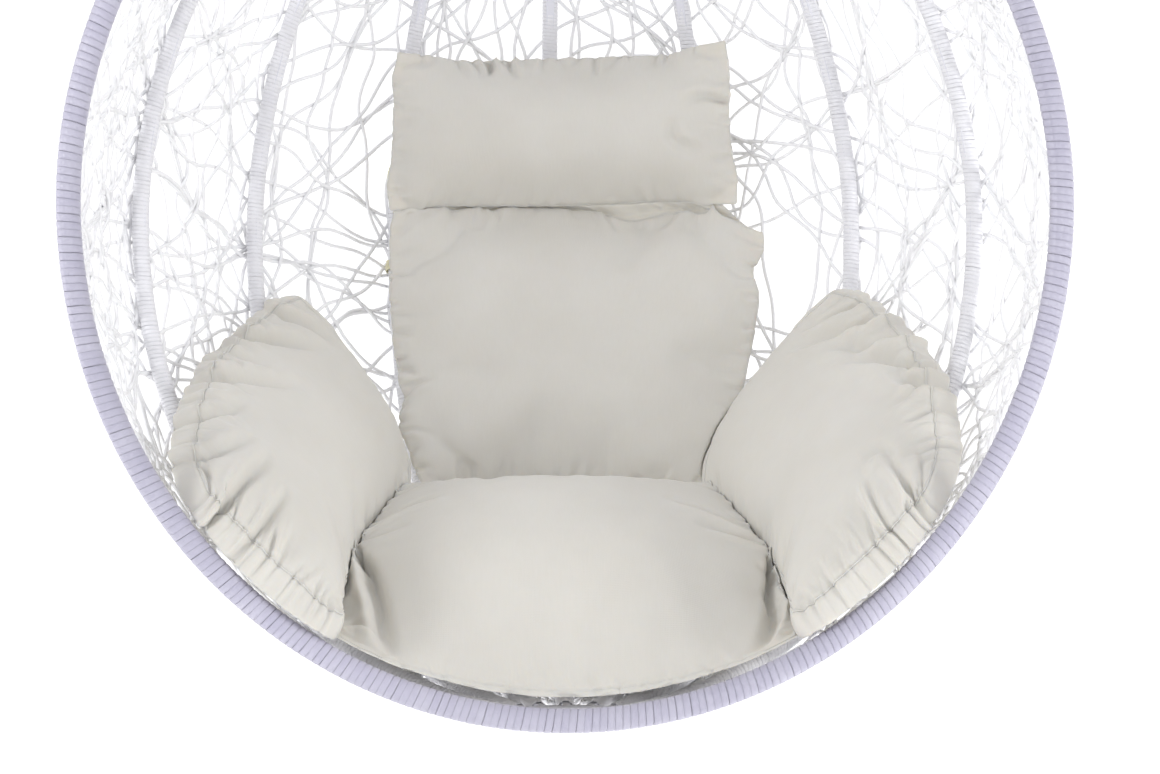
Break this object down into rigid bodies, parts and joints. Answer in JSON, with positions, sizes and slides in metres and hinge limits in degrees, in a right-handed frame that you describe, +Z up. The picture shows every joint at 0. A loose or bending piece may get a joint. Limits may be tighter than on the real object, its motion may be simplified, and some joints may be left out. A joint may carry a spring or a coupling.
{
  "type": "hanging egg chair",
  "caption": "Hanging egg chair: a wrapped steel hoop and ribs with an open random-weave wicker shell, loose cushions, and a hook, spring and swivel to hang it by.",
  "frame": {"origin": "the point inside the top snap hook that bears on whatever the chair hangs from", "axes": "+Z up, -Y out of the basket's mouth towards the viewer, +X to the viewer's right"},
  "size_m": [1.0504, 0.8446, 1.4656],
  "materials": {
    "wicker": "satin",
    "powder_coat": "satin",
    "cushion_fabric": "matte",
    "tie_fabric": "matte",
    "zinc_steel": "satin"
  },
  "bodies": {
    "hanger": {"top_hook": "zinc_steel", "top_hook_gate_pin": "zinc_steel"},
    "top_gate": {"top_hook_gate": "zinc_steel"},
    "spring_upper": {"spring_upper_eye": "zinc_steel", "spring_coil": "zinc_steel"},
    "spring_lower": {"spring_lower_eye": "zinc_steel"},
    "swivel": {"swivel_bow": "zinc_steel"},
    "hook": {"swivel_hook": "zinc_steel", "swivel_hook_gate_pin": "zinc_steel"},
    "hook_gate": {"swivel_hook_gate": "zinc_steel"},
    "basket": {"rim_tube": "powder_coat", "rim_wrap": "wicker", "rib_tube_1": "powder_coat", "rib_tube_2": "powder_coat", "rib_tube_3": "powder_coat", "rib_tube_4": "powder_coat", "rib_tube_5": "powder_coat", "rib_tube_6": "powder_coat", "rib_tube_7": "powder_coat", "rib_wrap_1": "wicker", "rib_wrap_2": "wicker", "rib_wrap_3": "wicker", "rib_wrap_4": "wicker", "rib_wrap_5": "wicker", "rib_wrap_6": "wicker", "rib_wrap_7": "wicker", "weave_panel_1": "wicker", "weave_panel_2": "wicker", "weave_panel_3": "wicker", "weave_panel_4": "wicker", "weave_panel_5": "wicker", "weave_panel_6": "wicker", "weave_panel_7": "wicker", "weave_panel_8": "wicker", "crown_hub": "powder_coat", "foot_hub": "powder_coat", "hanging_eye": "zinc_steel", "seat_cushion": "cushion_fabric", "back_cushion": "cushion_fabric", "head_pillow": "cushion_fabric", "arm_cushion_left": "cushion_fabric", "arm_cushion_right": "cushion_fabric", "cushion_tie_upper_left": "tie_fabric", "cushion_tie_lower_left": "tie_fabric", "cushion_tie_upper_right": "tie_fabric", "cushion_tie_lower_right": "tie_fabric"}
  },
  "joints": [
    {"name": "top_gate_hinge", "type": "hinge", "parent": "hanger", "child": "top_gate", "pos_m": [0.016, 0, -0.0415], "axis": [0, -1, 0], "range_deg": [0, 25], "stiffness_Nm_per_rad": 0.05, "springref_deg": -5.73},
    {"name": "swing_fore_aft", "type": "hinge", "parent": "hanger", "child": "spring_upper", "pos_m": [0, 0, -0.064], "axis": [1, 0, 0], "range_deg": [-25, 25]},
    {"name": "bounce", "type": "slide", "parent": "spring_upper", "child": "spring_lower", "axis": [0, 0, -1], "range_m": [0, 0.06], "stiffness_N_per_m": 16000, "springref_m": -0.013, "deforming": ["spring_coil"]},
    {"name": "swing_side", "type": "hinge", "parent": "spring_lower", "child": "swivel", "pos_m": [0, 0, -0.1957], "axis": [0, 1, 0], "range_deg": [-25, 25]},
    {"name": "spin", "type": "hinge", "parent": "swivel", "child": "hook", "pos_m": [0, 0, -0.2257], "axis": [0, 0, 1], "continuous": true},
    {"name": "swivel_gate_hinge", "type": "hinge", "parent": "hook", "child": "hook_gate", "pos_m": [0, 0.016, -0.2842], "axis": [1, 0, 0], "range_deg": [0, 25], "stiffness_Nm_per_rad": 0.05, "springref_deg": -5.73},
    {"name": "basket_tilt", "type": "hinge", "parent": "hook", "child": "basket", "pos_m": [0, 0, -0.2979], "axis": [1, 0, 0], "range_deg": [-12, 12]}
  ]
}
